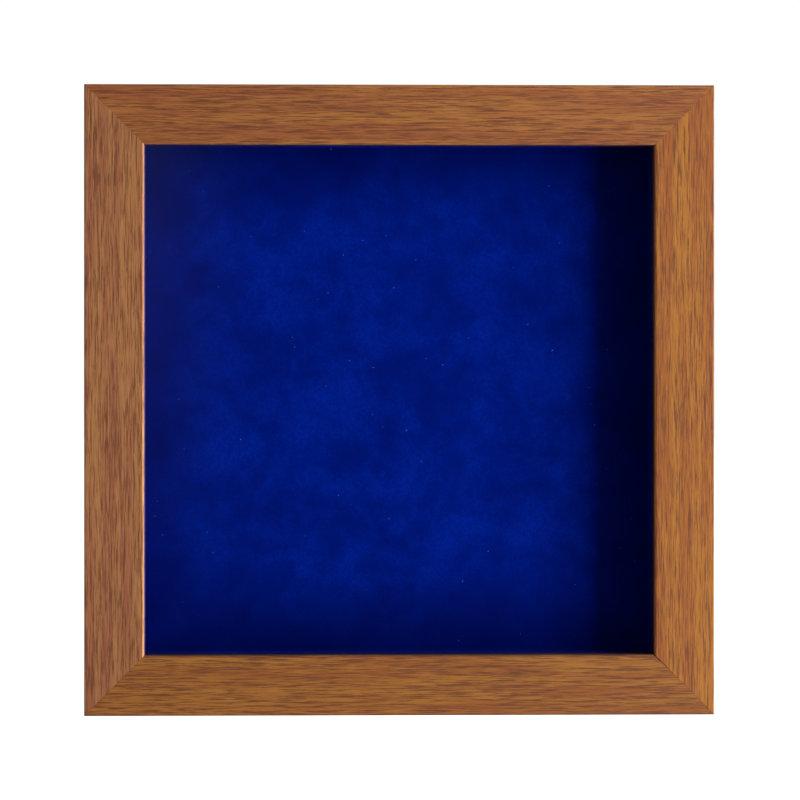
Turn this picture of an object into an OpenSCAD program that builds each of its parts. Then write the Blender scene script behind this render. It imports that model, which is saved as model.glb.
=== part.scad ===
// Shadow box: a square mitred oak frame with a deep rabbet, glazed at the front and closed at the
// back by a hardboard panel that eight turn buttons hold. A velvet-covered board carries the
// collectibles. X is to the right, the front faces -Y, Z is up, and the box stands on Z = 0.

/* [Frame] */
// Side of the square panels that the rabbet takes
panel_size = 304.6; // [280:0.2:360]
// Gap between a panel's edge and the rabbet wall
panel_gap = 0.5; // [0.3:0.1:1]
// Width of the frame's face, from the outer edge to the sight edge
face_w = 34.5; // [30:0.5:45]
// Width of the rabbet, which is how far the lip reaches over the glazing
rabbet_w = 6.35; // [6.3:0.05:7]
// Depth of the rails, front to back
rail_depth = 44.45; // [42:0.05:60]
// Thickness of the lip in front of the glazing
lip_t = 6.8; // [5:0.1:8]
// Bevel on the lip's inner front arris
sight_bevel = 1.7; // [0.5:0.1:2.5]
// Radius of the eased outer front edge
front_ease = 2.2; // [0.5:0.1:4]
// Radius of the eased outer rear edge
rear_ease = 1; // [0.3:0.1:2]

/* [Glazing and lining] */
// Thickness of the glazing
glazing_t = 2; // [1.5:0.1:3]
// Thickness of the velvet
velvet_t = 0.8; // [0.5:0.1:1]
// Thickness of the foam board strips that line the sides
liner_t = 4.8; // [3:0.1:5]
// Thickness of the foam board behind the velvet
mount_t = 5; // [3:0.1:6]
// Width of the velvet that is turned over the back of the mount board
turn_over = 22; // [10:1:60]
// Thickness of the hardboard back panel
back_t = 3.2; // [2.5:0.1:4]
// How far the back panel lies below the rear of the rails
back_recess = 0.45; // [0.3:0.05:1]

/* [Rear hardware] */
// Distance of each turn button's pivot from the middle of its rail
button_offset = 62; // [45:1:70]
// Length of a turn button from its pivot to its tip
button_reach = 25; // [20:1:28]
// Thickness of a turn button
button_t = 1; // [0.8:0.1:1.2]
// Height of the hanging rings' bars above the middle of the frame
hanger_rise = 96; // [92:1:110]
// Diameter of the ring wire
ring_wire = 2.2; // [1.8:0.1:2.4]
// Height of the wall bumpers
bumper_h = 5; // [4.6:0.1:8]
// Diameter of the wall bumpers
bumper_d = 12.7; // [10:0.1:16]

/* [Hidden] */
$fn = 48;

// Sizes across the frame
opening = panel_size + 2 * panel_gap;             // between the rabbet walls
outer = opening + 2 * (face_w - rabbet_w);        // over the rails
half = outer / 2;
wall = opening / 2;                               // rabbet wall, from the frame's middle
wall_in = face_w - rabbet_w;                      // rabbet wall, from the frame's outer edge

// Depths, counted from the front of the rails
front_y = -(rail_depth + bumper_h) / 2;           // puts the whole depth about Y = 0
rear_y = front_y + rail_depth;
glazing_y = front_y + lip_t;
liner_y = glazing_y + glazing_t;
back_y = rear_y - back_recess - back_t;
mount_y = back_y - mount_t - 2 * velvet_t;        // front of the mount's velvet
lining_gap = 0.2;                                 // liners stop short of the mount by this
liner_depth = mount_y - lining_gap - liner_y;

// Screws
shank_r = 1.45;
shank_len = 9.5;
tip_len = 2.5;
head_r = 2.8;
head_h = 1.8;
cross_w = 0.9;
cross_len = 3.2;
cross_depth = 1.1;
screw_hole_r = 1.6;

// Turn buttons
running_gap = 0.1;                                // above and below a turn button
button_root_r = 5.5;
button_tip_r = 4;
pivot_in = 9;                                     // pivot to rabbet wall
pivot_rise = half - wall_in + pivot_in;           // pivot from the frame's middle

// Hangers
strap_gauge = 0.9;
strap_w = 11;
strap_len = 22;                                   // from the ring's bar to the rounded end
strap_in = 14;                                    // strap's centre line from the outer edge
loop_gap = 0.15;
loop_r = ring_wire / 2 + loop_gap + strap_gauge;
ring_r = (strap_w + 1 + ring_wire) / 2;           // centre line of the ring's bow
ring_leg = 3.5;
ring_rest = 6;                                    // a hanging ring leans out over its strap
hanger_screw_drop = 16;

// Bumpers
bumper_side = 38;                                 // from the corner, along the rail
bumper_ease = 1.6;

// Corner nails
nail_leg = 6.5;
nail_t = 0.6;
nail_curl = 1.4;
nail_depth = 10;
nail_steps = [9, 20];                             // along both rails from the outer corner

OAK = [0.58, 0.37, 0.21];
VELVET = [0.02, 0.10, 0.48];
FOAM_BOARD = [0.93, 0.92, 0.88];
HARDBOARD = [0.40, 0.27, 0.17];
ZINC = [0.72, 0.74, 0.76];

function arc(cx, cy, r, from, to, steps = 6) =
    [for (i = [0:steps]) let (a = from + (to - from) * i / steps) [cx + r * cos(a), cy + r * sin(a)]];

// Places children, drawn about the frame's middle for the top rail, on the rail at turn
module on_side(turn) {
    translate([0, 0, half]) rotate([0, turn * 90, 0]) children();
}

// Lays a flat outline, drawn in X and Z, from y with thickness t towards +Y
module slab(y, t) {
    translate([0, y + t, 0]) rotate([90, 0, 0]) linear_extrude(t) children();
}

// Section of a rail: X is in from the outer edge, Y is back from the front
module rail_section() {
    polygon(concat(
        arc(front_ease, front_ease, front_ease, 180, 270),
        [[face_w - sight_bevel, 0], [face_w, sight_bevel], [face_w, lip_t],
         [wall_in, lip_t], [wall_in, rail_depth]],
        arc(rear_ease, rail_depth - rear_ease, rear_ease, 90, 180)
    ));
}

// Full-length stick with its ends cut at 45 degrees, drawn as the top rail
module mitred_stick() {
    intersection() {
        translate([-half, front_y, half])
            rotate([0, 90, 0]) linear_extrude(outer) rail_section();
        slab(front_y - 1, rail_depth + 2) polygon([[0, 0], [half + 1, half + 1], [-half - 1, half + 1]]);
    }
}

module rail(turn) {
    color(OAK) difference() {
        on_side(turn) mitred_stick();
        corner_nail_set();
        button_screw_shanks();
        hanger_screw_shanks();
    }
}

module glazing_pane() {
    color([0.85, 0.92, 0.95, 0.25])
        translate([-panel_size / 2, glazing_y, half - panel_size / 2])
            cube([panel_size, glazing_t, panel_size]);
}

// Length of a lining strip: the upright ones stand between the other two
function liner_len(turn) =
    turn % 2 == 0 ? opening - 2 * panel_gap : opening - 2 * (liner_t + velvet_t + running_gap);

module liner_block(turn, from_wall, t, from_y, depth) {
    on_side(turn)
        translate([-liner_len(turn) / 2, from_y, wall - from_wall - t])
            cube([liner_len(turn), depth, t]);
}

module liner_core(turn) {
    color(FOAM_BOARD) liner_block(turn, 0, liner_t, liner_y, liner_depth - velvet_t);
}

// Covers the strip's inner face and is turned over its rear end
module liner_velvet(turn) {
    color(VELVET) {
        liner_block(turn, liner_t, velvet_t, liner_y, liner_depth);
        liner_block(turn, 0, liner_t, liner_y + liner_depth - velvet_t, velvet_t);
    }
}

module mount_board() {
    side = panel_size - 2 * velvet_t;
    color(FOAM_BOARD)
        translate([-side / 2, mount_y + velvet_t, half - side / 2]) cube([side, mount_t, side]);
}

// One cloth over the board's face and edges, turned over on its back
module mount_velvet() {
    side = panel_size - 2 * velvet_t;
    window = side - 2 * turn_over;
    color(VELVET) difference() {
        translate([-panel_size / 2, mount_y, half - panel_size / 2])
            cube([panel_size, mount_t + 2 * velvet_t, panel_size]);
        translate([-side / 2, mount_y + velvet_t, half - side / 2]) cube([side, mount_t, side]);
        translate([-window / 2, mount_y + velvet_t, half - window / 2])
            cube([window, mount_t + 2 * velvet_t, window]);
    }
}

module back_panel() {
    color(HARDBOARD)
        translate([-panel_size / 2, back_y, half - panel_size / 2])
            cube([panel_size, back_t, panel_size]);
}

// Pan head screw along -Y, with the underside of its head at the origin
module screw_head() {
    crown = head_r * 1.6;
    dip = crown - sqrt(crown * crown - head_r * head_r);
    rim = head_h - dip;
    lean = asin(head_r / crown);
    rotate([-90, 0, 0]) difference() {
        rotate_extrude()
            polygon(concat([[0, 0], [head_r, 0]], arc(0, head_h - crown, crown, 90 - lean, 90)));
        for (a = [0, 90])
            rotate([0, 0, a]) translate([-cross_len / 2, -cross_w / 2, head_h - cross_depth])
                cube([cross_len, cross_w, cross_depth + 1]);
    }
}

module screw_shank(y) {
    rotate([90, 0, 0]) {
        translate([0, 0, -y]) cylinder(r = shank_r, h = shank_len - tip_len);
        translate([0, 0, shank_len - tip_len - y]) cylinder(r1 = shank_r, r2 = 0.3, h = tip_len);
    }
}

// Turn buttons: rail 0 is the top one, and hand is -1 or 1 for the two on a rail
module at_pivot(turn, hand) {
    on_side(turn) translate([hand * button_offset, rear_y, pivot_rise]) children();
}

module turn_button_outline() {
    run = button_reach - button_tip_r;
    lean = acos((button_root_r - button_tip_r) / run);
    difference() {
        union() {
            circle(r = button_root_r);
            translate([run, 0]) circle(r = button_tip_r);
            polygon([
                button_root_r * [cos(lean), sin(lean)], button_root_r * [cos(lean), -sin(lean)],
                [run, 0] + button_tip_r * [cos(lean), -sin(lean)],
                [run, 0] + button_tip_r * [cos(lean), sin(lean)]
            ]);
        }
        circle(r = screw_hole_r);
    }
}

// Drawn open, along its rail and pointing to the rail's middle
module turn_button(turn, hand) {
    color(ZINC) at_pivot(turn, hand) rotate([0, hand > 0 ? 180 : 0, 0])
        slab(running_gap, button_t) turn_button_outline();
}

module for_each_button() {
    for (turn = [0:3], hand = [-1, 1]) at_pivot(turn, hand) children();
}

module button_screw_shanks() {
    for_each_button() screw_shank(button_t + 2 * running_gap);
}

module turn_button_screws() {
    color(ZINC) for_each_button() {
        translate([0, button_t + 2 * running_gap, 0]) screw_head();
        screw_shank(button_t + 2 * running_gap);
    }
}

// Hangers: the origin is on the rail's rear face behind the ring's bar
module at_hanger(side) {
    translate([side * (half - strap_in), rear_y, half + hanger_rise]) children();
}

// A strip folded round the ring's bar, with one hole through both layers
module hanger_strap(side) {
    color(ZINC) at_hanger(side) difference() {
        intersection() {
            translate([-strap_w / 2, 0, 0]) rotate([90, 0, 90]) linear_extrude(strap_w) difference() {
                union() {
                    translate([loop_r, 0]) circle(r = loop_r);
                    translate([0, -strap_len]) square([2 * strap_gauge, strap_len]);
                }
                translate([loop_r, 0]) circle(r = loop_r - strap_gauge);
            }
            slab(-1, 2 * loop_r + 2) union() {
                translate([0, strap_w / 2 - strap_len]) circle(r = strap_w / 2);
                translate([-strap_w / 2, strap_w / 2 - strap_len])
                    square([strap_w, strap_len + loop_r]);
            }
        }
        translate([0, -1, -hanger_screw_drop]) rotate([-90, 0, 0])
            cylinder(r = screw_hole_r, h = 4 * strap_gauge);
    }
}

module hanger_ring(side) {
    color(ZINC) at_hanger(side) translate([0, loop_r, 0]) rotate([ring_rest, 0, 0]) {
        for (x = [-1, 1]) translate([x * ring_r, 0, 0]) {
            sphere(r = ring_wire / 2);
            rotate([180, 0, 0]) cylinder(r = ring_wire / 2, h = ring_leg);
        }
        rotate([0, 90, 0]) translate([0, 0, -ring_r]) cylinder(r = ring_wire / 2, h = 2 * ring_r);
        translate([0, 0, -ring_leg]) rotate([-90, 0, 0])
            rotate_extrude(angle = 180) translate([ring_r, 0]) circle(r = ring_wire / 2);
    }
}

module for_each_hanger_screw() {
    for (side = [-1, 1]) at_hanger(side) translate([0, 0, -hanger_screw_drop]) children();
}

module hanger_screw_shanks() {
    for_each_hanger_screw() screw_shank(2 * strap_gauge);
}

module hanger_screws() {
    color(ZINC) for_each_hanger_screw() {
        translate([0, 2 * strap_gauge, 0]) screw_head();
        screw_shank(2 * strap_gauge);
    }
}

module wall_bumpers() {
    r = bumper_d / 2;
    color([0.88, 0.90, 0.90]) for (turn = [0, 2], hand = [-1, 1])
        on_side(turn) translate([hand * (half - bumper_side), rear_y, half - strap_in])
            rotate([-90, 0, 0]) rotate_extrude() polygon(concat(
                [[0, 0], [r, 0]],
                arc(r - bumper_ease, bumper_h - bumper_ease, bumper_ease, 0, 90),
                [[0, bumper_h]]
            ));
}

// Bent steel nails driven across each mitre from behind, two to a corner
module corner_nail_set() {
    for (turn = [0:3], step = nail_steps)
        on_side(turn) translate([half - step, 0, half - step]) slab(rear_y - nail_depth, nail_depth) {
            square([nail_t, nail_leg]);
            square([nail_leg, nail_t]);
            translate([0, nail_leg]) square([nail_curl, nail_t]);
            translate([nail_leg, 0]) square([nail_t, nail_curl]);
        }
}

module corner_v_nails() {
    color(ZINC) corner_nail_set();
}

rail(0);  // rail_top
rail(1);  // rail_right
rail(2);  // rail_bottom
rail(3);  // rail_left
glazing_pane();
liner_core(0);  // liner_core_top
liner_core(1);  // liner_core_right
liner_core(2);  // liner_core_bottom
liner_core(3);  // liner_core_left
liner_velvet(0);  // liner_velvet_top
liner_velvet(1);  // liner_velvet_right
liner_velvet(2);  // liner_velvet_bottom
liner_velvet(3);  // liner_velvet_left
mount_board();
mount_velvet();
back_panel();
turn_button(0, -1);  // turn_button_top_left
turn_button(0, 1);  // turn_button_top_right
turn_button(1, -1);  // turn_button_right_upper
turn_button(1, 1);  // turn_button_right_lower
turn_button(2, -1);  // turn_button_bottom_right
turn_button(2, 1);  // turn_button_bottom_left
turn_button(3, -1);  // turn_button_left_lower
turn_button(3, 1);  // turn_button_left_upper
turn_button_screws();
hanger_strap(-1);  // hanger_strap_left
hanger_strap(1);  // hanger_strap_right
hanger_ring(-1);  // hanger_ring_left
hanger_ring(1);  // hanger_ring_right
hanger_screws();
wall_bumpers();
corner_v_nails();
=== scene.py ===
from math import cos, pi, radians, sin, sqrt

import bmesh
import bpy
from mathutils import Matrix, Vector


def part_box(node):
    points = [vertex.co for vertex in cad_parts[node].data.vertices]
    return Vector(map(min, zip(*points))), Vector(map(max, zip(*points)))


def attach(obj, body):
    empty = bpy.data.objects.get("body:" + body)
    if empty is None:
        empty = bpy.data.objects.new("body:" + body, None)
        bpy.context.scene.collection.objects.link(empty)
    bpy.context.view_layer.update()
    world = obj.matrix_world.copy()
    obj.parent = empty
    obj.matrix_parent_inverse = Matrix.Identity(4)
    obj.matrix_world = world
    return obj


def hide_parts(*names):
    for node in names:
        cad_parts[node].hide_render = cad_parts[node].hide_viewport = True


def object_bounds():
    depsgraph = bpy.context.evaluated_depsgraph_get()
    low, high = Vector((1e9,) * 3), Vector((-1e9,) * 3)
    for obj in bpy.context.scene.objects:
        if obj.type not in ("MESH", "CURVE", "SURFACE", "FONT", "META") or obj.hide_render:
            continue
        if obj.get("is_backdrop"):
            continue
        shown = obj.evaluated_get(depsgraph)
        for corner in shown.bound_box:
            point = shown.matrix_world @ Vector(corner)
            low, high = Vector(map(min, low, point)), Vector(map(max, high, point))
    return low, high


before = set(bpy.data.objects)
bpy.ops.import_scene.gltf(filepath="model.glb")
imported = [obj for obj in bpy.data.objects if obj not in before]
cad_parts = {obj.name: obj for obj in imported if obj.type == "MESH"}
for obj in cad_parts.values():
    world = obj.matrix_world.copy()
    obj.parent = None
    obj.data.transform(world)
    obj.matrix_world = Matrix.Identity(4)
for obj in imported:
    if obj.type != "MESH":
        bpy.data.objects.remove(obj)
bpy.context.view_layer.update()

# ==== Rails ====================================================================================
# Four sticks of honey-stained oak with one moulded section: a flat face, a deep rabbet behind
# the lip, an eased outer arris and a small bevel at the sight edge. They are cut at 45 degrees
# and glued. The bottom right mitre has opened over its inner third.
MM = 0.001
TOP_LOW, TOP_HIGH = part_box("rail_top")
LIP_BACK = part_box("glazing_pane")[0].y
RABBET_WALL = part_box("liner_core_top")[1].z
MIDDLE = Vector((0, 0, (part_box("rail_bottom")[0].z + TOP_HIGH.z) / 2))
FRONT, REAR = TOP_LOW.y, TOP_HIGH.y
SIGHT = TOP_LOW.z
SIGHT_BEVEL = 1.1 * MM
SIGHT_BEVEL_DEEP = 0.8 * MM
OUTER_EASE = 0.9 * MM
REAR_EASE = 1.0 * MM
SOFT_ARRIS = 0.2 * MM
MITRE_GAP = radians(3.4)
MITRE_OPEN = 0.34
OAK_GOLD = (0.400, 0.170, 0.044, 1)
OAK_HONEY = (0.340, 0.128, 0.040, 1)
OAK_RED = (0.300, 0.094, 0.036, 1)
OAK_PORE = (0.140, 0.036, 0.008, 1)
OAK_PALE = (0.460, 0.215, 0.085, 1)
RAW_OAK = (0.45, 0.30, 0.16, 1)
RAW_OAK_DARK = (0.30, 0.18, 0.09, 1)
# Each rail's tone is partly its own stain and partly painted light and reflection for how its side is lit;
# the left rail's bluer tone is a painted reflection.
BOARD_TONES_AND_PAINTED_LIGHT = {
    "top": (0.94, 0.84, 0.62, 1), "right": (1.08, 0.96, 0.44, 1),
    "bottom": (0.89, 0.81, 0.44, 1), "left": (1.02, 1.03, 1.22, 1),
}
# Bevel tones are painted light and shade: the left bevel is painted lighter as a highlight, the bottom one
# darker as shade, the right one redder.
BEVEL_PAINTED_LIGHT_AND_SHADE = {
    "top": (1.02, 0.92, 0.70, 1), "right": (1.45, 0.95, 0.25, 1),
    "bottom": (0.66, 0.54, 0.36, 1), "left": (1.25, 1.15, 0.60, 1),
}
# A dark tone painted on the inner lip wall and on the bottom rail's lower arris: painted shade.
OAK_PAINTED_SHADE = (0.34, 0.26, 0.20, 1)
STAINED, RAW, JOINT, BEVEL, PAINTED_SHADE_SLOT = range(5)
HAIR = 0.05 * MM
JOINT_GLUE = (0.030, 0.012, 0.006, 1)
JOINT_DUST = (0.060, 0.026, 0.012, 1)


class Wire:
    """A socket of a node tree. Sums on wires add Math nodes."""

    def __init__(self, tree, socket):
        self.tree, self.socket = tree, socket

    def math(self, operation, *values):
        return self.tree.node("Math", {"operation": operation}, dict(enumerate(values)))

    def __add__(self, other):
        return self.math("ADD", self, other)

    def __sub__(self, other):
        return self.math("SUBTRACT", self, other)

    def __rsub__(self, other):
        return self.math("SUBTRACT", other, self)

    def __mul__(self, other):
        return self.math("MULTIPLY", self, other)

    def __pow__(self, other):
        return self.math("POWER", self, other)

    __radd__, __rmul__ = __add__, __mul__

    def over(self, low, high):
        """0 below low, 1 above high, with a soft step between them."""
        settings = {"interpolation_type": "SMOOTHSTEP"}
        return self.tree.node("MapRange", settings, {"Value": self, "From Min": low, "From Max": high})


class Recipe:
    """A node tree, emptied and built up again by node()."""

    def __init__(self, owner):
        owner.use_nodes = True
        self.owner, self.tree = owner, owner.node_tree
        self.tree.nodes.clear()

    def node(self, kind, settings=None, sockets=None, output=0):
        """Adds a node: first its settings, then its sockets, which take numbers, colours or wires."""
        made = self.tree.nodes.new("ShaderNode" + kind)
        for name, value in (settings or {}).items():
            setattr(made, name, value)
        for name, value in (sockets or {}).items():
            if isinstance(value, Wire):
                self.tree.links.new(value.socket, made.inputs[name])
            else:
                made.inputs[name].default_value = value
        return Wire(self, made.outputs[output]) if made.outputs else made

    def place(self, scale, offset=(0, 0, 0)):
        """The point on the piece, in metres, moved by offset and then scaled along each axis."""
        here = self.node("TexCoord", output="Object")
        moved = self.node("VectorMath", {"operation": "ADD"}, {0: here, 1: offset})
        return self.node("VectorMath", {"operation": "MULTIPLY"}, {0: moved, 1: scale})

    def parts(self, vector):
        """The three numbers of a vector."""
        first = self.node("SeparateXYZ", None, {0: vector})
        return [Wire(self, socket) for socket in first.socket.node.outputs]

    def noise(self, vector, scale=1.0, detail=2.0, roughness=0.5, distortion=0.0):
        return self.node("TexNoise", None, {
            "Vector": vector, "Scale": scale, "Detail": detail,
            "Roughness": roughness, "Distortion": distortion,
        })

    def mix(self, factor, first, second, blend="MIX"):
        settings = {"data_type": "RGBA", "blend_type": blend}
        return self.node("Mix", settings, {0: factor, 6: first, 7: second}, output=2)

    def bump(self, height, distance, strength=1.0):
        return self.node("Bump", None, {"Height": height, "Distance": distance, "Strength": strength})

    def surface(self, **sockets):
        """Ends the material with one Principled shader."""
        named = {name.replace("_", " "): value for name, value in sockets.items()}
        shader = self.node("BsdfPrincipled", None, named)
        self.node("OutputMaterial", None, {"Surface": shader})
        return self.owner


def stained_oak(name, grain_axis, offset, tone):
    """Honey-stained oak under satin lacquer, its grain along one axis, multiplied by a tone, which on the
    rail faces also holds painted light and on the bevels and lip painted light and shade.
    """
    recipe = Recipe(bpy.data.materials.new(name))

    def along_grain(along, across):
        scale = [across] * 3
        scale[grain_axis] = along
        return recipe.place(tuple(scale), offset)

    band = recipe.noise(along_grain(7, 210), detail=2.0, roughness=0.6, distortion=0.15)
    streak = recipe.noise(along_grain(26, 1000), detail=2.0, roughness=0.6, distortion=0.10)
    grain = recipe.noise(along_grain(75, 1750), detail=3.0, roughness=0.7, distortion=0.10)
    colour = recipe.mix(band.over(0.36, 0.64), OAK_RED, OAK_GOLD)
    colour = recipe.mix(0.25, colour, OAK_HONEY)
    dark = (streak * 0.35 + grain * 0.65).over(0.46, 0.60)
    colour = recipe.mix(dark * 0.95, colour, OAK_PORE)
    fine = grain.over(0.46, 0.30)
    colour = recipe.mix(fine * 0.6, colour, OAK_PALE)
    colour = recipe.mix(1.0, colour, tone, "MULTIPLY")
    height = 1 - dark
    return recipe.surface(
        Base_Color=colour, Roughness=dark * 0.12 + 0.42, Normal=recipe.bump(height, 0.04 * MM, 0.5),
        Coat_Weight=0.2, Coat_Roughness=0.3,
    )


def raw_oak(name, grain_axis, offset):
    """The same oak without stain or lacquer, on the back and in the rabbet."""
    recipe = Recipe(bpy.data.materials.new(name))
    scale = [1300] * 3
    scale[grain_axis] = 45
    streak = recipe.noise(recipe.place(tuple(scale), offset), detail=3.0, roughness=0.6)
    blotch = recipe.noise(recipe.place((30, 30, 30), offset), detail=2.0)
    colour = recipe.mix(streak.over(0.40, 0.75), RAW_OAK, RAW_OAK_DARK)
    colour = recipe.mix(blotch.over(0.45, 0.7) * 0.25, colour, OAK_HONEY)
    return recipe.surface(
        Base_Color=colour, Roughness=0.82 - streak * 0.15, Normal=recipe.bump(streak, 0.08 * MM, 0.6))


def joint_stain(name):
    """End grain in the mitres, nearly black with stain and glue."""
    recipe = Recipe(bpy.data.materials.new(name))
    smear = recipe.noise(recipe.place((400, 400, 400)), detail=2.0)
    return recipe.surface(Base_Color=recipe.mix(smear, JOINT_GLUE, JOINT_DUST), Roughness=0.7 + smear * 0.2)


def block(name, low, high):
    """A box between two corners, with its origin at the world's."""
    bpy.ops.object.select_all(action="DESELECT")
    bpy.ops.mesh.primitive_cube_add(size=1, location=(low + high) / 2, scale=high - low)
    piece = bpy.context.object
    piece.name = piece.data.name = name
    bpy.ops.object.transform_apply(location=True, rotation=True, scale=True)
    return piece


def work_on(piece):
    """Selects one piece alone and opens its mesh, all of it selected."""
    bpy.ops.object.select_all(action="DESELECT")
    piece.select_set(True)
    bpy.context.view_layer.objects.active = piece
    bpy.ops.object.mode_set(mode="EDIT")
    bpy.ops.mesh.select_all(action="SELECT")


def pick(kind, wanted):
    """Selects the faces, edges or verts of the open mesh whose middle and direction are wanted."""
    bpy.ops.mesh.select_mode(type=kind)
    bpy.ops.mesh.select_all(action="DESELECT")
    mesh = bmesh.from_edit_mesh(bpy.context.object.data)
    mesh.normal_update()
    if kind == "FACE":
        chosen = [f for f in mesh.faces if wanted(f.calc_center_median(), f.normal)]
    elif kind == "EDGE":
        ends = [(e, e.verts[0].co, e.verts[1].co) for e in mesh.edges]
        chosen = [e for e, a, b in ends if wanted((a + b) / 2, (b - a).normalized())]
    else:
        chosen = [v for v in mesh.verts if wanted(v.co, v.normal)]
    for element in chosen:
        element.select = True
    mesh.select_flush_mode()
    bmesh.update_edit_mesh(bpy.context.object.data)


def near(value, target, within=0.02 * MM):
    return abs(value - target) < within


def done():
    bpy.ops.object.mode_set(mode="OBJECT")


def modify(piece, kind, **settings):
    """Adds a modifier to a piece and applies it."""
    bpy.ops.object.select_all(action="DESELECT")
    piece.select_set(True)
    bpy.context.view_layer.objects.active = piece
    modifier = piece.modifiers.new(kind.title(), kind)
    for name, value in settings.items():
        setattr(modifier, name, value)
    bpy.ops.object.modifier_apply(modifier=modifier.name)


def soften(piece, width, segments=2, angle=30):
    modify(piece, "BEVEL", width=width, segments=segments, limit_method="ANGLE",
           angle_limit=radians(angle), harden_normals=False)


def smooth(piece, angle=30):
    """Rounds the shading of small facets, while the wide flat faces stay flat."""
    bpy.ops.object.select_all(action="DESELECT")
    piece.select_set(True)
    bpy.context.view_layer.objects.active = piece
    bpy.ops.object.shade_smooth_by_angle(angle=radians(angle))
    modify(piece, "WEIGHTED_NORMAL", mode="FACE_AREA", weight=100, keep_sharp=True)


def copy_of(piece, name, matrix):
    """A copy with a mesh of its own, moved by matrix."""
    copy = piece.copy()
    copy.data = piece.data.copy()
    copy.name = copy.data.name = name
    bpy.context.scene.collection.objects.link(copy)
    copy.data.transform(matrix)
    return copy


def quarter_turns(turns):
    """From the top rail to the right, bottom and left ones, about the frame's middle."""
    there, back = Matrix.Translation(MIDDLE), Matrix.Translation(-MIDDLE)
    return there @ Matrix.Rotation(turns * pi / 2, 4, "Y") @ back


def clad(piece, *materials):
    piece.data.materials.clear()
    for material in materials:
        piece.data.materials.append(material)


stick = block("stick", Vector((TOP_LOW.x, FRONT, RABBET_WALL)), TOP_HIGH)
work_on(stick)
bpy.ops.mesh.bisect(plane_co=(0, LIP_BACK, 0), plane_no=(0, 1, 0))
pick("FACE", lambda at, normal: normal.z < -0.9 and at.y < LIP_BACK)
bpy.ops.mesh.extrude_region_move(TRANSFORM_OT_translate={"value": (0, 0, SIGHT - RABBET_WALL)})
for side in (-1, 1):
    bpy.ops.mesh.select_all(action="SELECT")
    bpy.ops.mesh.bisect(plane_co=MIDDLE, plane_no=(side, 0, -1), use_fill=True, clear_outer=True)
pick("EDGE", lambda at, run: abs(run.x) > 0.9 and near(at.y, FRONT) and near(at.z, SIGHT))
bpy.ops.mesh.bevel(offset=SIGHT_BEVEL, segments=1)
pick("EDGE", lambda at, run: abs(run.x) > 0.9 and near(at.y, FRONT + SIGHT_BEVEL) and near(at.z, SIGHT))
bpy.ops.transform.translate(value=(0, SIGHT_BEVEL_DEEP - SIGHT_BEVEL, 0))
pick("EDGE", lambda at, run: abs(run.x) > 0.9 and near(at.y, FRONT) and near(at.z, TOP_HIGH.z))
bpy.ops.mesh.bevel(offset=OUTER_EASE, segments=5)
pick("EDGE", lambda at, run: abs(run.x) > 0.9 and near(at.y, REAR) and near(at.z, TOP_HIGH.z))
bpy.ops.mesh.bevel(offset=REAR_EASE, segments=3)
done()

rails = {}
joint = joint_stain("joint_stain")
for turns, side in enumerate(("top", "right", "bottom", "left")):
    rail = copy_of(stick, f"oak_rail_{side}", quarter_turns(turns))
    if side == "bottom":
        corner = Vector((1, 0, -1)).normalized()
        pivot = MIDDLE + corner * (SIGHT - MIDDLE.z + MITRE_OPEN * (TOP_HIGH.z - SIGHT)) * sqrt(2)
        away = Matrix.Rotation(-MITRE_GAP, 3, "Y") @ Vector((1, 0, 1))
        work_on(rail)
        bpy.ops.mesh.bisect(plane_co=pivot, plane_no=away, use_fill=True, clear_outer=True)
        done()
    soften(rail, SOFT_ARRIS)
    axis = 0 if turns % 2 == 0 else 2
    offset = (0.37 * turns + 0.11, 0.29 * turns, 0.53 * turns + 0.07)
    stained = stained_oak(f"stained_oak_{side}", axis, offset, BOARD_TONES_AND_PAINTED_LIGHT[side])
    raw = raw_oak(f"raw_oak_{side}", axis, offset)
    bevel = stained_oak(f"oak_bevel_painted_light_and_shade_{side}", axis, offset, BEVEL_PAINTED_LIGHT_AND_SHADE[side])
    painted_shade = stained_oak(f"oak_lip_painted_shade_{side}", axis, offset, OAK_PAINTED_SHADE)
    clad(rail, stained, raw, joint, bevel, painted_shade)
    inward = quarter_turns(turns).to_3x3() @ Vector((0, 0, -1))
    for face in rail.data.polygons:
        facing, depth_in = face.normal, (face.center - MIDDLE).dot(-inward)
        in_rabbet = face.center.y > LIP_BACK - HAIR and depth_in < RABBET_WALL - MIDDLE.z + HAIR
        lip_wall = face.center.y < LIP_BACK and facing.dot(inward) > 0.9
        lower_arris = side == "bottom" and -0.9 < facing.y < -0.1 and facing.z < -0.4
        if facing.y > 0.7 or in_rabbet:
            face.material_index = RAW
        if min(abs(facing.x), abs(facing.z)) > 0.6 and abs(facing.y) < 0.1:
            face.material_index = JOINT
        # Bevel faces take the bevel's painted light and shade.
        if -0.97 < facing.y < -0.25 and facing.dot(inward) > 0.25:
            face.material_index = BEVEL
        # The inner lip wall and the bottom rail's lower arris get painted shade.
        if lip_wall or lower_arris:
            face.material_index = PAINTED_SHADE_SLOT
    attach(rail, "case")
    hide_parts(f"rail_{side}")
    rails[side] = rail
bpy.data.objects.remove(stick)

# ==== Corner nails =============================================================================
# Eight strips of spring steel bent to a right angle with hooked ends. Two are driven across
# each mitre from behind, a little below the wood, and draw the joint together.
NAIL_LOW, NAIL_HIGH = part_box("corner_v_nails")
NAIL_STEPS = (9 * MM, 20 * MM)
NAIL_LEG = 6.4 * MM
NAIL_HOOK = 1.3 * MM
NAIL_GAUGE = 0.6 * MM
NAIL_SUNK = 0.35 * MM
NAIL_SLOT = 0.22 * MM
SLOT_OFF = 0.03 * MM
SLIVER = 0.004 * MM
NAIL_STEEL = (0.33, 0.33, 0.34, 1)


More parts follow.
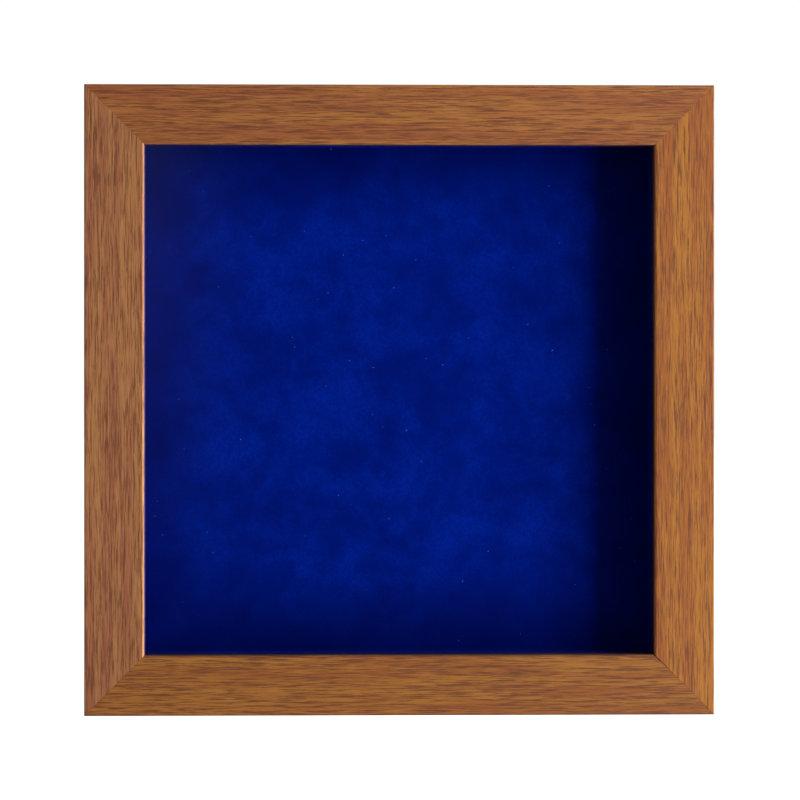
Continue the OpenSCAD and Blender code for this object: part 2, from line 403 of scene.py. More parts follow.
def bent_strip(name, path, width, gauge, place):
    """A strip bent along a flat path. The path is in X and Y, and the strip's width is along Z."""
    curve = bpy.data.curves.new(name, "CURVE")
    curve.dimensions, curve.fill_mode, curve.extrude = "2D", "NONE", width / 2
    spline = curve.splines.new("POLY")
    spline.points.add(len(path) - 1)
    for point, (x, y) in zip(spline.points, path):
        point.co = (x, y, 0, 1)
    flat = bpy.data.objects.new(name, curve)
    bpy.context.scene.collection.objects.link(flat)
    bpy.ops.object.select_all(action="DESELECT")
    flat.select_set(True)
    bpy.context.view_layer.objects.active = flat
    bpy.ops.object.convert(target="MESH")
    strip = bpy.context.object
    strip.data.transform(place)
    modify(strip, "SOLIDIFY", thickness=gauge, offset=0)
    work_on(strip)
    bpy.ops.mesh.normals_make_consistent(inside=False)
    done()
    return strip


def turned_arc(centre, radius, start, end, steps):
    """Points on an arc, with its angles in degrees."""
    angles = [radians(start + (end - start) * n / steps) for n in range(steps + 1)]
    return [(centre[0] + radius * cos(a), centre[1] + radius * sin(a)) for a in angles]


def merged(name, parts):
    """Joins parts into one piece."""
    bpy.ops.object.select_all(action="DESELECT")
    for part in parts:
        part.select_set(True)
    bpy.context.view_layer.objects.active = parts[0]
    bpy.ops.object.join()
    piece = bpy.context.object
    piece.name = piece.data.name = name
    return piece


def plated(name, colour, roughness):
    """Bright plated steel with the faint cloudiness and fine scratches of small stampings."""
    recipe = Recipe(bpy.data.materials.new(name))
    cloud = recipe.noise(recipe.place((260, 260, 260)), detail=3.0)
    scratch = recipe.noise(recipe.place((2400, 2400, 160)), detail=2.0)
    worn = tuple(channel * 0.78 for channel in colour[:3]) + (1,)
    return recipe.surface(
        Base_Color=recipe.mix(cloud.over(0.35, 0.7), colour, worn), Metallic=1.0,
        Roughness=cloud * 0.16 + scratch * 0.10 + (roughness - 0.12),
        Normal=recipe.bump(scratch, 0.01 * MM, 0.4),
    )


def weld(piece):
    """Merges the slivers that a cut leaves."""
    work_on(piece)
    bpy.ops.mesh.remove_doubles(threshold=SLIVER)
    bpy.ops.mesh.dissolve_degenerate(threshold=SLIVER)
    done()


def nail_at(step, gauge, depth, name):
    """One nail across the top right mitre, its legs pointing outwards."""
    path = [(NAIL_HOOK, NAIL_LEG), (0, NAIL_LEG), (0, 0), (NAIL_LEG, 0), (NAIL_LEG, NAIL_HOOK)]
    half = TOP_HIGH.z - MIDDLE.z
    reach = half - step + NAIL_GAUGE / 2
    apex = Vector((reach, REAR - depth / 2, MIDDLE.z + reach))
    upright = Matrix(((1, 0, 0), (0, 0, 1), (0, 1, 0))).to_4x4()
    return bent_strip(name, path, depth, gauge, Matrix.Translation(apex) @ upright)


MITRES = (("top", "right"), ("right", "bottom"), ("bottom", "left"), ("left", "top"))
nail_depth = NAIL_HIGH.y - NAIL_LOW.y
nails = []
for step in NAIL_STEPS:
    nail = nail_at(step, NAIL_GAUGE, nail_depth - NAIL_SUNK, "nail")
    nail.data.transform(Matrix.Translation((0, -NAIL_SUNK, 0)))
    slot = nail_at(step, NAIL_GAUGE + NAIL_SLOT, nail_depth + NAIL_SUNK, "nail_slot")
    slot.data.transform(Matrix.Translation((SLOT_OFF, NAIL_SUNK, 0)))
    for turns in range(4):
        nails.append(copy_of(nail, "nail", quarter_turns(turns)))
        cutter = copy_of(slot, "slot", quarter_turns(turns))
        for side in MITRES[turns]:
            modify(rails[side], "BOOLEAN", operation="DIFFERENCE", object=cutter, solver="EXACT")
        bpy.data.objects.remove(cutter)
    bpy.data.objects.remove(nail)
    bpy.data.objects.remove(slot)
for rail in rails.values():
    weld(rail)
    smooth(rail)
corner_nails = merged("steel_corner_nails", nails)
soften(corner_nails, 0.08 * MM, 1)
smooth(corner_nails)
clad(corner_nails, plated("spring_steel", NAIL_STEEL, 0.42))
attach(corner_nails, "case")
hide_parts("corner_v_nails")

# ==== Glazing ==================================================================================
# One square of clear 2 mm picture glass. Its arrises are seamed with a stone, and it sits loose
# against the back of the lip, held there by the lining strips.
GLASS_LOW, GLASS_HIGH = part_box("glazing_pane")
GLASS_SEAM = 0.3 * MM
GLASS_PASSES = (0.975, 0.985, 0.985, 1)
GLASS_EDGE = (0.10, 0.28, 0.22, 1)
GLASS_EDGE_PALE = (0.3, 0.5, 0.45, 1)

pane = block("picture_glass_pane", GLASS_LOW, GLASS_HIGH)
soften(pane, GLASS_SEAM, 1)
glass = Recipe(bpy.data.materials.new("picture_glass"))
film = glass.noise(glass.place((9, 9, 9)), detail=3.0)
clear = glass.node("BsdfTransparent", None, {"Color": GLASS_PASSES})
shine = glass.node("BsdfGlossy", None, {"Color": (1, 1, 1, 1), "Roughness": film * 0.05 + 0.02})
edge_on = glass.node("LayerWeight", None, {"Blend": 0.5}, output=1)
mirror = edge_on ** 5 * 0.96 + 0.04
mixed = glass.node("MixShader", None, {0: mirror, 1: clear, 2: shine})
glass.node("OutputMaterial", None, {"Surface": mixed})
ground = Recipe(bpy.data.materials.new("ground_glass_edge"))
grit = ground.noise(ground.place((900, 900, 900)), detail=2.0)
ground_edge = ground.surface(
    Base_Color=ground.mix(grit.over(0.3, 0.7), GLASS_EDGE, GLASS_EDGE_PALE),
    Roughness=0.45 + grit * 0.2, Normal=ground.bump(grit, 0.03 * MM, 0.6))
clad(pane, glass.owner, ground_edge)
for face in pane.data.polygons:
    face.material_index = 0 if abs(face.normal.y) > 0.9 else 1
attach(pane, "case")
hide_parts("glazing_pane")

# ==== Lining strips ============================================================================
# Four strips of white foam board glued inside the rabbet. They hold the glass against the lip
# and keep the mount back from it. Paper faces a rigid foam, which shows at the cut ends.
BOARD_PAPER = (0.80, 0.79, 0.75, 1)
BOARD_SHADE = (0.66, 0.64, 0.59, 1)


def foam_board(name):
    recipe = Recipe(bpy.data.materials.new(name))
    fibre = recipe.noise(recipe.place((500, 500, 500)), detail=3.0, roughness=0.6)
    cell = recipe.noise(recipe.place((1500, 1500, 1500)), detail=1.0)
    return recipe.surface(
        Base_Color=recipe.mix(fibre.over(0.4, 0.75), BOARD_PAPER, BOARD_SHADE),
        Roughness=0.78 + fibre * 0.15, Normal=recipe.bump(cell + fibre, 0.04 * MM, 0.5))


board = foam_board("foam_board")
for side in ("top", "right", "bottom", "left"):
    clad(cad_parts[f"liner_core_{side}"], board)
clad(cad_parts["mount_board"], board)

# ==== Lining velvet ============================================================================
# A strip of the same blue velvet is glued over each lining strip and turned over its rear end,
# so that only velvet shows when the back is off.
VELVET_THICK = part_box("liner_velvet_top")[1].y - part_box("liner_core_top")[1].y
VELVET_FOLD = 0.6 * MM
VELVET_BLUE = (0.0006, 0.0190, 0.350, 1)
VELVET_DEEP = (0.0004, 0.0090, 0.196, 1)
# Painted shade: the mount's velvet darkens towards this near its edges.
VELVET_RIM_SHADE = (0.0002, 0.0030, 0.090, 1)
VELVET_NAP = (0.0003, 0.0040, 0.130, 1)
# Painted shade on the lining velvet: darkest at the glass and fading over the depth below, set per side,
# most on the bottom and right strips.
VELVET_GLASS_SHADE = (0.0006, 0.0020, 0.012, 1)
GLASS_SHADE_DEPTH = 26 * MM
LINING_GLASS_SHADE = {"top": 0.5, "right": 0.85, "bottom": 0.98, "left": 0.3}
VELVET_SHEEN = (0.05, 0.12, 0.30, 1)
# Shifts the middle of the mount's painted shade, so its bottom and left edges are painted darker than its
# top.
RIM_SHADE_SHIFT = Vector((3 * MM, 0, 6 * MM))
LINT = (0.30, 0.42, 0.90, 1)


def velvet(name, offset, rim=None, glass_shade=0):
    """Royal blue velvet: a short pile brushed this way and that, with a few specks of lint.
    Within rim of the lining's edges it is painted darker as shade from the rails. On the lining it is
    painted darker towards the glass as shade from the lip."""
    recipe = Recipe(bpy.data.materials.new(name))
    brushed = recipe.noise(recipe.place((26, 26, 26), offset), detail=3.0, roughness=0.55, distortion=0.4)
    stroke = recipe.noise(recipe.place((90, 90, 90), offset), detail=2.0)
    pile = recipe.noise(recipe.place((900, 900, 900), offset), detail=2.0, roughness=0.8)
    lay = (brushed * 0.7 + stroke * 0.3).over(0.30, 0.70)
    colour = recipe.mix(lay, VELVET_DEEP, VELVET_BLUE)
    colour = recipe.mix(pile.over(0.35, 0.65) * 0.42, colour, VELVET_NAP)
    # Painted shade near the mount's edges.
    if rim:
        across, deep, rise = recipe.parts(recipe.place((1, 1, 1), -MIDDLE - RIM_SHADE_SHIFT))
        far = rise.math("MAXIMUM", across.math("ABSOLUTE", across), rise.math("ABSOLUTE", rise))
        edge = SIGHT - MIDDLE.z + RIM_SHADE_SHIFT.z
        colour = recipe.mix(far.over(edge - rim, edge) * 0.66, colour, VELVET_RIM_SHADE)
    # Painted shade on the lining, darker towards the glass.
    if glass_shade:
        across, deep, rise = recipe.parts(recipe.place((1, 1, 1), (0, -GLASS_HIGH.y, 0)))
        colour = recipe.mix((1 - deep.over(0, GLASS_SHADE_DEPTH)) * glass_shade, colour, VELVET_GLASS_SHADE)
    cell = recipe.node("TexVoronoi", {"feature": "F1"}, {
        "Vector": recipe.place((1, 1, 1), offset), "Scale": 130.0, "Randomness": 1.0})
    speck = 1 - cell.over(0.012, 0.040)
    colour = recipe.mix(speck * 0.8, colour, LINT)
    return recipe.surface(
        Base_Color=colour, Roughness=0.95 - lay * 0.1, Specular_IOR_Level=0.0,
        Sheen_Weight=0.05, Sheen_Roughness=0.45, Sheen_Tint=VELVET_SHEEN,
        Normal=recipe.bump(pile, 0.12 * MM, 0.6))


for number, side in enumerate(("top", "right", "bottom", "left")):
    low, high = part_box(f"liner_velvet_{side}")
    strip = block(f"lining_velvet_{side}", low, high)
    inward = quarter_turns(number).to_3x3() @ Vector((0, 0, -1))
    work_on(strip)
    pick("FACE", lambda at, normal: normal.dot(inward) < 0.9 and normal.y < 0.9)
    bpy.ops.mesh.delete(type="FACE")
    cavity_side = max(low.dot(inward), high.dot(inward))
    pick("EDGE", lambda at, run: near(at.y, high.y) and near(at.dot(inward), cavity_side))
    bpy.ops.mesh.bevel(offset=VELVET_FOLD, segments=4)
    done()
    modify(strip, "SOLIDIFY", thickness=VELVET_THICK, offset=-1)
    smooth(strip, 50)
    clad(strip, velvet(f"velvet_{side}", (0.2 * number + 1.3, 0.7, 0.4 * number), glass_shade=LINING_GLASS_SHADE[side]))
    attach(strip, "case")
    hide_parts(f"liner_velvet_{side}")

# ==== Mount ====================================================================================
# A square of foam board with velvet stretched over its face and edges. The cloth is turned over
# the back of the board, mitred at the corners and glued down. Pins and badges are fixed to it.
MOUNT_LOW, MOUNT_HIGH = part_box("mount_velvet")
TURN_OVER = 22 * MM
MOUNT_FOLD = 0.8 * MM

mount = block("mount_velvet_cover", MOUNT_LOW, MOUNT_HIGH)
work_on(mount)
pick("FACE", lambda at, normal: normal.y > 0.9)
bpy.ops.mesh.inset(thickness=TURN_OVER)
bpy.ops.mesh.delete(type="FACE")
pick("EDGE", lambda at, run: max(abs(run.x), abs(run.y), abs(run.z)) > 0.99
     and (near(abs(at.x), MOUNT_HIGH.x) or near(abs(at.z - MIDDLE.z), MOUNT_HIGH.x)))
bpy.ops.mesh.bevel(offset=MOUNT_FOLD, segments=4)
done()
modify(mount, "SOLIDIFY", thickness=VELVET_THICK, offset=-1)
smooth(mount, 50)
# The mount's velvet is painted darker within 52 mm of its edges as shade.
clad(mount, velvet("velvet_mount", (0.0, 0.0, 0.0), rim=52 * MM))
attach(mount, "back_assembly")
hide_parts("mount_velvet")

# ==== Back panel ===============================================================================
# A square of 3.2 mm tempered hardboard with its smooth face out, sawn to size so that its edges
# are slightly furred. It drops into the rabbet behind the mount.
BACK_LOW, BACK_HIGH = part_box("back_panel")
HARDBOARD = (0.150, 0.076, 0.035, 1)
HARDBOARD_DARK = (0.066, 0.034, 0.018, 1)

panel = block("hardboard_back_panel", BACK_LOW, BACK_HIGH)
soften(panel, 0.35 * MM, 2)
smooth(panel)
recipe = Recipe(bpy.data.materials.new("tempered_hardboard"))
fibre = recipe.noise(recipe.place((1100, 1100, 1100)), detail=3.0, roughness=0.7, distortion=0.2)
cloud = recipe.noise(recipe.place((26, 26, 26)), detail=4.0, roughness=0.6)
tone = (fibre * 0.75 + cloud * 0.25).over(0.36, 0.66)
clad(panel, recipe.surface(
    Base_Color=recipe.mix(tone, HARDBOARD, HARDBOARD_DARK), Roughness=0.42 + fibre * 0.22,
    Normal=recipe.bump(fibre, 0.05 * MM, 0.5)))
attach(panel, "back_assembly")
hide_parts("back_panel")

# ==== Turn buttons =============================================================================
# Eight zinc-plated steel stampings, each pivoting on its screw. Turned in over the back panel
# they hold it, and here they lie open along their rails. The tip is raised for a fingernail.
BUTTON_ROOT = 5.5 * MM
BUTTON_TIP = 4.0 * MM
BUTTON_HOLE = 1.6 * MM
BUTTON_BURR = 0.16 * MM
BUTTON_LIFT = 0.7 * MM
LIFT_RUN = 7 * MM
ZINC = (0.46, 0.48, 0.51, 1)
FIRST_LOW, FIRST_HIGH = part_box("turn_button_top_left")
button_pivot = Vector((FIRST_LOW.x + BUTTON_ROOT, FIRST_LOW.y, (FIRST_LOW.z + FIRST_HIGH.z) / 2))
button_run = FIRST_HIGH.x - button_pivot.x - BUTTON_TIP
button_gauge = FIRST_HIGH.y - FIRST_LOW.y

bpy.ops.object.select_all(action="DESELECT")
bpy.ops.mesh.primitive_circle_add(vertices=40, radius=BUTTON_HOLE, rotation=(pi / 2, 0, 0))
button = bpy.context.object
bpy.ops.object.transform_apply(location=True, rotation=True, scale=True)
work_on(button)
for reach in (0.55 * BUTTON_ROOT, BUTTON_ROOT):
    bpy.ops.mesh.extrude_edges_move()
    mesh = bmesh.from_edit_mesh(button.data)
    for vert in mesh.verts:
        if vert.select:
            vert.co *= reach / vert.co.length
            if reach == BUTTON_ROOT and vert.co.x > -0.1 * MM:
                vert.co = vert.co * (BUTTON_TIP / BUTTON_ROOT) + Vector((button_run, 0, 0))
    bmesh.update_edit_mesh(button.data)
done()
button.data.transform(Matrix.Translation(button_pivot))
modify(button, "SOLIDIFY", thickness=button_gauge, offset=1)
work_on(button)
bpy.ops.mesh.normals_make_consistent(inside=False)
done()
button_low = min(vert.co.y for vert in button.data.vertices)
button.data.transform(Matrix.Translation((0, FIRST_LOW.y - button_low, 0)))
soften(button, BUTTON_BURR, 2, 50)
lift_from = FIRST_HIGH.x - LIFT_RUN
for vert in button.data.vertices:
    if vert.co.x > lift_from:
        vert.co.y += BUTTON_LIFT * ((vert.co.x - lift_from) / LIFT_RUN) ** 2
smooth(button)

mirrored = copy_of(button, "button_mirrored", Matrix.Scale(-1, 4, (1, 0, 0)))
work_on(mirrored)
bpy.ops.mesh.normals_make_consistent(inside=False)
done()
zinc = plated("bright_zinc", ZINC, 0.34)
BUTTONS = (("top_left", 0, button), ("top_right", 0, mirrored), ("right_upper", 1, button),
           ("right_lower", 1, mirrored), ("bottom_right", 2, button), ("bottom_left", 2, mirrored),
           ("left_lower", 3, button), ("left_upper", 3, mirrored))
for place, turns, pattern in BUTTONS:
    stamped = copy_of(pattern, f"zinc_turn_button_{place}", quarter_turns(turns))
    clad(stamped, zinc)
    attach(stamped, f"button_{place}")
    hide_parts(f"turn_button_{place}")
bpy.data.objects.remove(button)
bpy.data.objects.remove(mirrored)

# ==== Screws ===================================================================================
# Ten small zinc-plated pan heads with a cross recess: one through each turn button and one
# through each hanger strap, driven into the rails.
HEAD_R = 2.8 * MM
HEAD_HIGH = 1.8 * MM
CROWN_R = 1.6 * HEAD_R
SHANK_R = 1.45 * MM
SHANK_LEN = 9.3 * MM
THREAD_STEPS = 9
THREADED = 0.70 * SHANK_LEN
THREAD_ROOT = 0.78
POINT_LEN = 0.28 * SHANK_LEN
POINT_BLUNT = 0.12
CROSS_LEN = 3.1 * MM
CROSS_WIDE = 0.75 * MM
CROSS_DEEP = 1.0 * MM
SCREW_ZINC = (0.42, 0.42, 0.40, 1)

rim = HEAD_HIGH - (CROWN_R - sqrt(CROWN_R ** 2 - HEAD_R ** 2))
bpy.ops.object.select_all(action="DESELECT")
bpy.ops.mesh.primitive_uv_sphere_add(segments=28, ring_count=24, radius=CROWN_R)
screw = bpy.context.object
work_on(screw)
cap_level = CROWN_R - HEAD_HIGH + rim
bpy.ops.mesh.bisect(plane_co=(0, 0, cap_level), plane_no=(0, 0, -1), use_fill=True, clear_outer=True)
pick("FACE", lambda at, normal: normal.z < -0.9)
bpy.ops.mesh.extrude_region_move(TRANSFORM_OT_translate={"value": (0, 0, -rim)})
bpy.ops.mesh.inset(thickness=HEAD_R - SHANK_R)
half_pitch = -THREADED / 2 / THREAD_STEPS
for step in range(THREAD_STEPS):
    bpy.ops.mesh.extrude_region_move(TRANSFORM_OT_translate={"value": (0, 0, half_pitch)})
    bpy.ops.transform.resize(value=(THREAD_ROOT, THREAD_ROOT, 1))
    bpy.ops.mesh.extrude_region_move(TRANSFORM_OT_translate={"value": (0, 0, half_pitch)})
    bpy.ops.transform.resize(value=(1 / THREAD_ROOT, 1 / THREAD_ROOT, 1))
bpy.ops.mesh.extrude_region_move(TRANSFORM_OT_translate={"value": (0, 0, -POINT_LEN)})
bpy.ops.transform.resize(value=(POINT_BLUNT, POINT_BLUNT, 1))
done()
screw.data.transform(Matrix.Translation((0, 0, -(cap_level - rim))))
for turns in (0, 1):
    reach = Vector((CROSS_LEN / 2, CROSS_WIDE / 2, CROSS_DEEP))
    top = Vector((0, 0, HEAD_HIGH))
    arm = block("arm", top - reach, top + reach)
    work_on(arm)
    pick("FACE", lambda at, normal: normal.z < -0.9)
    bpy.ops.transform.resize(value=(0.45, 0.8, 1), center_override=(0, 0, HEAD_HIGH - reach.z))
    done()
    arm.data.transform(Matrix.Rotation(turns * pi / 2, 4, "Z"))
    modify(screw, "BOOLEAN", operation="DIFFERENCE", object=arm, solver="EXACT")
    bpy.data.objects.remove(arm)
weld(screw)
soften(screw, 0.07 * MM, 1, 40)
weld(screw)
smooth(screw, 40)
screw.data.transform(Matrix.Rotation(-pi / 2, 4, "X"))


def driven(place, twist):
    """A screw with the underside of its head at place and its recess turned by twist."""
    return copy_of(screw, "driven", Matrix.Translation(place) @ Matrix.Rotation(twist, 4, "Y"))


button_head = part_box("turn_button_screws")[1].y - HEAD_HIGH
heads = []
for number, (place, turns, pattern) in enumerate(BUTTONS):
    hand = 1 if pattern is BUTTONS[0][2] else -1
    spot = quarter_turns(turns) @ Vector((hand * button_pivot.x, button_head, button_pivot.z))
    heads.append(driven(spot, radians(23 + 37 * number)))
button_screws = merged("zinc_button_screws", heads)
STRAP_LOW, STRAP_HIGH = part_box("hanger_strap_right")
HANGER_SCREW_LOW, HANGER_SCREW_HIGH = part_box("hanger_screws")
strap_x = (STRAP_LOW.x + STRAP_HIGH.x) / 2
hanger_head = HANGER_SCREW_HIGH.y - HEAD_HIGH
hanger_screw_z = (HANGER_SCREW_LOW.z + HANGER_SCREW_HIGH.z) / 2
heads = []
for side in (-1, 1):
    spot = Vector((side * strap_x, hanger_head, hanger_screw_z))
    heads.append(driven(spot, radians(50 + 22 * side)))
hanger_screws = merged("zinc_hanger_screws", heads)
screw_zinc = plated("screw_zinc", SCREW_ZINC, 0.36)
for screws, node in ((button_screws, "turn_button_screws"), (hanger_screws, "hanger_screws")):
    clad(screws, screw_zinc)
    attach(screws, "case")
    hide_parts(node)
bpy.data.objects.remove(screw)

# ==== Hanger straps ============================================================================
# A strip of plated steel is folded round each ring's bar and closed on itself, with one screw
# through both layers. Its end is rounded. One sits on each upright rail.
RING_LOW, RING_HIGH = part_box("hanger_ring_right")
STRAP_GAUGE = 0.86 * MM
STRAP_LAYER = 0.9 * MM
LOOP_R = 2.15 * MM
STRAP_HOLE = 1.6 * MM
bar_z = STRAP_HIGH.z - LOOP_R
strap_len = bar_z - STRAP_LOW.z
strap_wide = STRAP_HIGH.x - STRAP_LOW.x
loop_mid = LOOP_R - STRAP_LAYER / 2

strap_path = [(-strap_len - 1 * MM, STRAP_LAYER / 2), (-4 * MM, STRAP_LAYER / 2)]
strap_path += turned_arc((0, LOOP_R), loop_mid, -90, 190, 22)
strap_path += [(-2.45 * MM, 1.75 * MM), (-3.3 * MM, 1.45 * MM), (-4.2 * MM, 1.5 * STRAP_LAYER),
               (-strap_len - 1 * MM, 1.5 * STRAP_LAYER)]
stand_up = Matrix(((0, 0, 1), (0, 1, 0), (1, 0, 0))).to_4x4()
strap = bent_strip("strap", strap_path, strap_wide, STRAP_GAUGE,
                   Matrix.Translation((strap_x, REAR, bar_z)) @ stand_up)
bpy.ops.object.select_all(action="DESELECT")
rounded_z = STRAP_LOW.z + strap_wide / 2
bpy.ops.mesh.primitive_cylinder_add(vertices=64, radius=strap_wide / 2, depth=20 * MM,
                                    rotation=(pi / 2, 0, 0), location=(strap_x, REAR, rounded_z))
outline = bpy.context.object
bpy.ops.object.transform_apply(location=True, rotation=True, scale=True)
work_on(outline)
pick("VERT", lambda at, normal: at.z > rounded_z + 0.01 * MM)
bpy.ops.transform.translate(value=(0, 0, strap_len))
bpy.ops.transform.resize(value=(3, 1, 3), center_override=(strap_x, REAR, rounded_z + strap_len))
done()
modify(strap, "BOOLEAN", operation="INTERSECT", object=outline, solver="EXACT")
bpy.data.objects.remove(outline)
bpy.ops.object.select_all(action="DESELECT")
bpy.ops.mesh.primitive_cylinder_add(vertices=32, radius=STRAP_HOLE, depth=12 * MM,
                                    rotation=(pi / 2, 0, 0), location=(strap_x, REAR, hanger_screw_z))
drill = bpy.context.object
modify(strap, "BOOLEAN", operation="DIFFERENCE", object=drill, solver="EXACT")
bpy.data.objects.remove(drill)
soften(strap, 0.12 * MM, 2, 50)
smooth(strap, 40)
for side, name in ((1, "right"), (-1, "left")):
    folded = copy_of(strap, f"zinc_hanger_strap_{name}", Matrix.Translation(((side - 1) * strap_x, 0, 0)))
    clad(folded, zinc)
    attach(folded, "case")
    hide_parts(f"hanger_strap_{name}")
bpy.data.objects.remove(strap)

# ==== Hanging rings ============================================================================
# Two D-shaped rings of 2.2 mm nickel-plated wire, free to swing in their straps. Off the wall
# they hang down over the straps, and a wall hook takes them when they are turned up.
RING_WIRE = 2.2 * MM
RING_LEG = 3.5 * MM
RING_BEND = 1.3 * MM
RING_REST = radians(6)
RING_NICKEL = (0.52, 0.50, 0.46, 1)
ring_bow = (RING_HIGH.x - RING_LOW.x - RING_WIRE) / 2

route = turned_arc((ring_bow - RING_BEND, -RING_BEND), RING_BEND, 90, 0, 6)
route += turned_arc((0, -RING_LEG), ring_bow, 0, -180, 28)
route += turned_arc((RING_BEND - ring_bow, -RING_BEND), RING_BEND, 180, 90, 6)
route += [(x * ring_bow, 0) for x in (-0.4, 0, 0.4)]
wire_curve = bpy.data.curves.new("ring", "CURVE")
wire_curve.dimensions, wire_curve.bevel_depth, wire_curve.bevel_resolution = "3D", RING_WIRE / 2, 5
spline = wire_curve.splines.new("POLY")
spline.points.add(len(route) - 1)
spline.use_cyclic_u = True
for point, (x, z) in zip(spline.points, route):
    point.co = (x, 0, z, 1)
ring = bpy.data.objects.new("ring", wire_curve)
bpy.context.scene.collection.objects.link(ring)
bpy.ops.object.select_all(action="DESELECT")
ring.select_set(True)
bpy.context.view_layer.objects.active = ring
bpy.ops.object.convert(target="MESH")
ring = bpy.context.object
work_on(ring)
bpy.ops.mesh.remove_doubles(threshold=0.001 * MM)
bpy.ops.mesh.normals_make_consistent(inside=False)
done()
smooth(ring, 60)
nickel = plated("nickel_plate", RING_NICKEL, 0.24)
for side, name in ((1, "right"), (-1, "left")):
    hung = Matrix.Translation((side * strap_x, REAR + LOOP_R, bar_z)) @ Matrix.Rotation(RING_REST, 4, "X")
    wire_ring = copy_of(ring, f"nickel_hanging_ring_{name}", hung)
    clad(wire_ring, nickel)
    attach(wire_ring, f"ring_{name}")
    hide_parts(f"hanger_ring_{name}")
bpy.data.objects.remove(ring)

# ==== Wall bumpers =============================================================================
# Four clear polyurethane domes with flat tops, stuck near the corners of the top and bottom
# rails. They stand further out than the hangers, so the box meets the wall on them.
BUMPER_LOW, BUMPER_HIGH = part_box("wall_bumpers")
BUMPER_R = 6.35 * MM
BUMPER_EASE = 1.6 * MM
BUMPER_FOOT = 0.25 * MM
BUMPER_FLAT = 1.2 * MM
BUMPER_CLEAR = (0.78, 0.82, 0.82, 1)
BUMPER_CLOUD = (0.62, 0.66, 0.66, 1)

bumper_high = BUMPER_HIGH.y - BUMPER_LOW.y
bpy.ops.object.select_all(action="DESELECT")
bpy.ops.mesh.primitive_cylinder_add(vertices=40, radius=BUMPER_R, depth=bumper_high,
                                    rotation=(-pi / 2, 0, 0))
bumper = bpy.context.object
bpy.ops.object.transform_apply(location=True, rotation=True, scale=True)
work_on(bumper)
pick("FACE", lambda at, normal: normal.y > 0.9)
bpy.ops.mesh.bevel(offset=BUMPER_EASE, segments=6, affect="EDGES")
pick("FACE", lambda at, normal: normal.y < -0.9)
bpy.ops.mesh.bevel(offset=BUMPER_FOOT, segments=2, affect="EDGES")
pick("FACE", lambda at, normal: normal.y > 0.99)
bpy.ops.mesh.inset(thickness=BUMPER_FLAT)
done()
smooth(bumper, 50)
domes = []
for x in (BUMPER_LOW.x + BUMPER_R, BUMPER_HIGH.x - BUMPER_R):
    for z in (BUMPER_LOW.z + BUMPER_R, BUMPER_HIGH.z - BUMPER_R):
        spot = Vector((x, BUMPER_LOW.y + bumper_high / 2, z))
        domes.append(copy_of(bumper, "dome", Matrix.Translation(spot)))
bumpers = merged("clear_wall_bumpers", domes)
recipe = Recipe(bpy.data.materials.new("clear_polyurethane"))
cloud = recipe.noise(recipe.place((300, 300, 300)), detail=2.0)
clad(bumpers, recipe.surface(
    Base_Color=recipe.mix(cloud, BUMPER_CLEAR, BUMPER_CLOUD), Roughness=0.22 + cloud * 0.15,
    Transmission_Weight=0.55, IOR=1.46))
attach(bumpers, "case")
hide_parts("wall_bumpers")
bpy.data.objects.remove(bumper)

# ==== Studio ===================================================================================
# A plain white floor and backdrop that only the camera sees, one tall soft strip of light to the
# right, which reaches below the floor, a dim pale wall to the left, and a dark room in front.
FLOOR_HALF = 6.0
FLOOR_WHITE = (0.80, 0.80, 0.80, 1)
FLOOR_GLOW = 0.85
BACKDROP = 1.05
ROOM = 0.27
LEFT_WALL = 0.25
KEY_AWAY = 2.3
KEY_ANGLE = radians(58.5)
KEY_WIDE = 1.36
KEY_LOW = -2.2
KEY_TOP = 2.4
KEY_POWER = 132

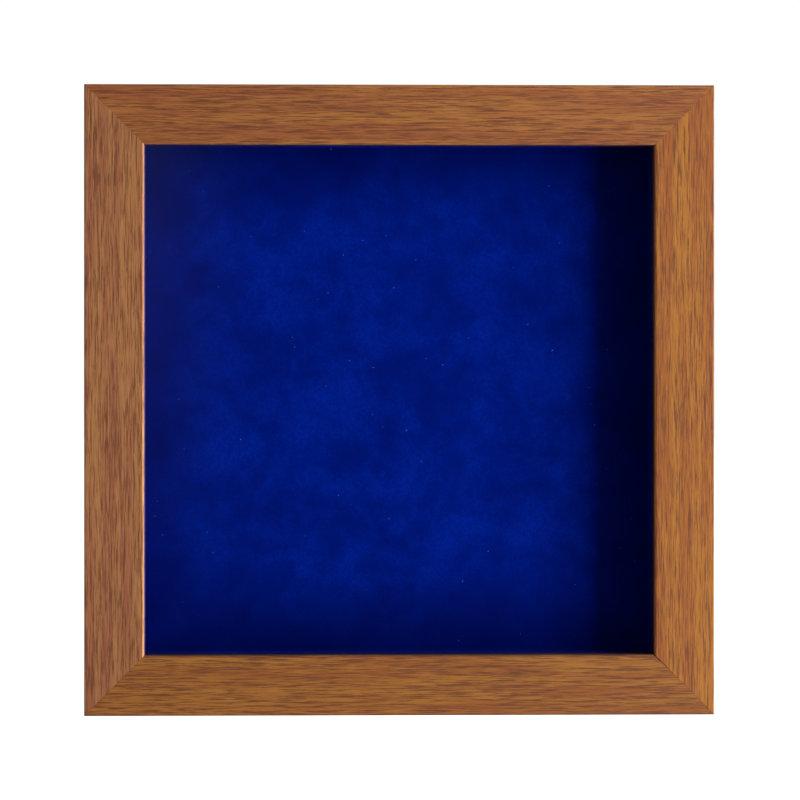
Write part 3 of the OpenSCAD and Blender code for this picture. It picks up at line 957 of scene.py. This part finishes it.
bpy.ops.object.select_all(action="DESELECT")
bpy.ops.mesh.primitive_plane_add(size=2 * FLOOR_HALF, location=(0, 0, 0))
floor = bpy.context.object
floor.name = "studio_floor"
recipe = Recipe(bpy.data.materials.new("white_floor"))
clad(floor, recipe.surface(
    Base_Color=FLOOR_WHITE, Roughness=0.9, Specular_IOR_Level=0.1,
    Emission_Color=(1, 1, 1, 1), Emission_Strength=FLOOR_GLOW))
floor.visible_diffuse = False
floor.visible_glossy = False
floor.visible_transmission = False
floor.visible_shadow = False
floor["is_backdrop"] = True

scene = bpy.context.scene
scene.world = bpy.data.worlds.new("studio")
studio = Recipe(scene.world)
right_way, back_way, up_way = studio.parts(studio.node("TexCoord", output="Generated"))
behind = back_way.over(-0.05, 0.15)
left_wall = (0 - right_way).over(0.0, 0.12) * up_way.over(-0.12, 0.10)
in_front = (0 - back_way).over(0.88, 0.94)
room = (1 - in_front) * ROOM + in_front * left_wall * LEFT_WALL
lit = behind * BACKDROP + (1 - behind) * room
seen = studio.node("LightPath")
glow = studio.node("Background", None, {
    "Color": (1, 1, 1, 1), "Strength": seen * BACKDROP + (1 - seen) * lit})
studio.node("OutputWorld", None, {"Surface": glow})

lamp = bpy.data.lights.new("key_strip", "AREA")
lamp.shape, lamp.energy = "RECTANGLE", KEY_POWER
lamp.size, lamp.size_y = KEY_WIDE, KEY_TOP - KEY_LOW
key = bpy.data.objects.new("key_strip", lamp)
scene.collection.objects.link(key)
key.location = (KEY_AWAY * sin(KEY_ANGLE), FRONT - KEY_AWAY * cos(KEY_ANGLE), (KEY_LOW + KEY_TOP) / 2)
key.rotation_euler = (pi / 2, 0, KEY_ANGLE)
key.visible_camera = False

CAMERA_BACK = 1.6
CAMERA_LEFT = 0.07
CAMERA_UP = 0.02
SENSOR = 36.0
PICTURE_SHARE = 0.789375
LENS_SHIFT = 0.08
view_wide = (TOP_HIGH.x - TOP_LOW.x) / PICTURE_SHARE
lens = bpy.data.cameras.new("camera")
lens.sensor_width = SENSOR
lens.lens = SENSOR * CAMERA_BACK / view_wide
lens.shift_x = LENS_SHIFT
lens.shift_y = -CAMERA_UP / view_wide
camera = bpy.data.objects.new("camera", lens)
scene.collection.objects.link(camera)
camera.location = (-CAMERA_LEFT, FRONT - CAMERA_BACK, MIDDLE.z + CAMERA_UP)
aim = Vector((-LENS_SHIFT * view_wide, FRONT, MIDDLE.z + CAMERA_UP)) - camera.location
camera.rotation_euler = aim.to_track_quat("-Z", "Y").to_euler()
scene.camera = camera
scene.view_settings.view_transform = "Standard"
scene.view_settings.look = "None"

low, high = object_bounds()
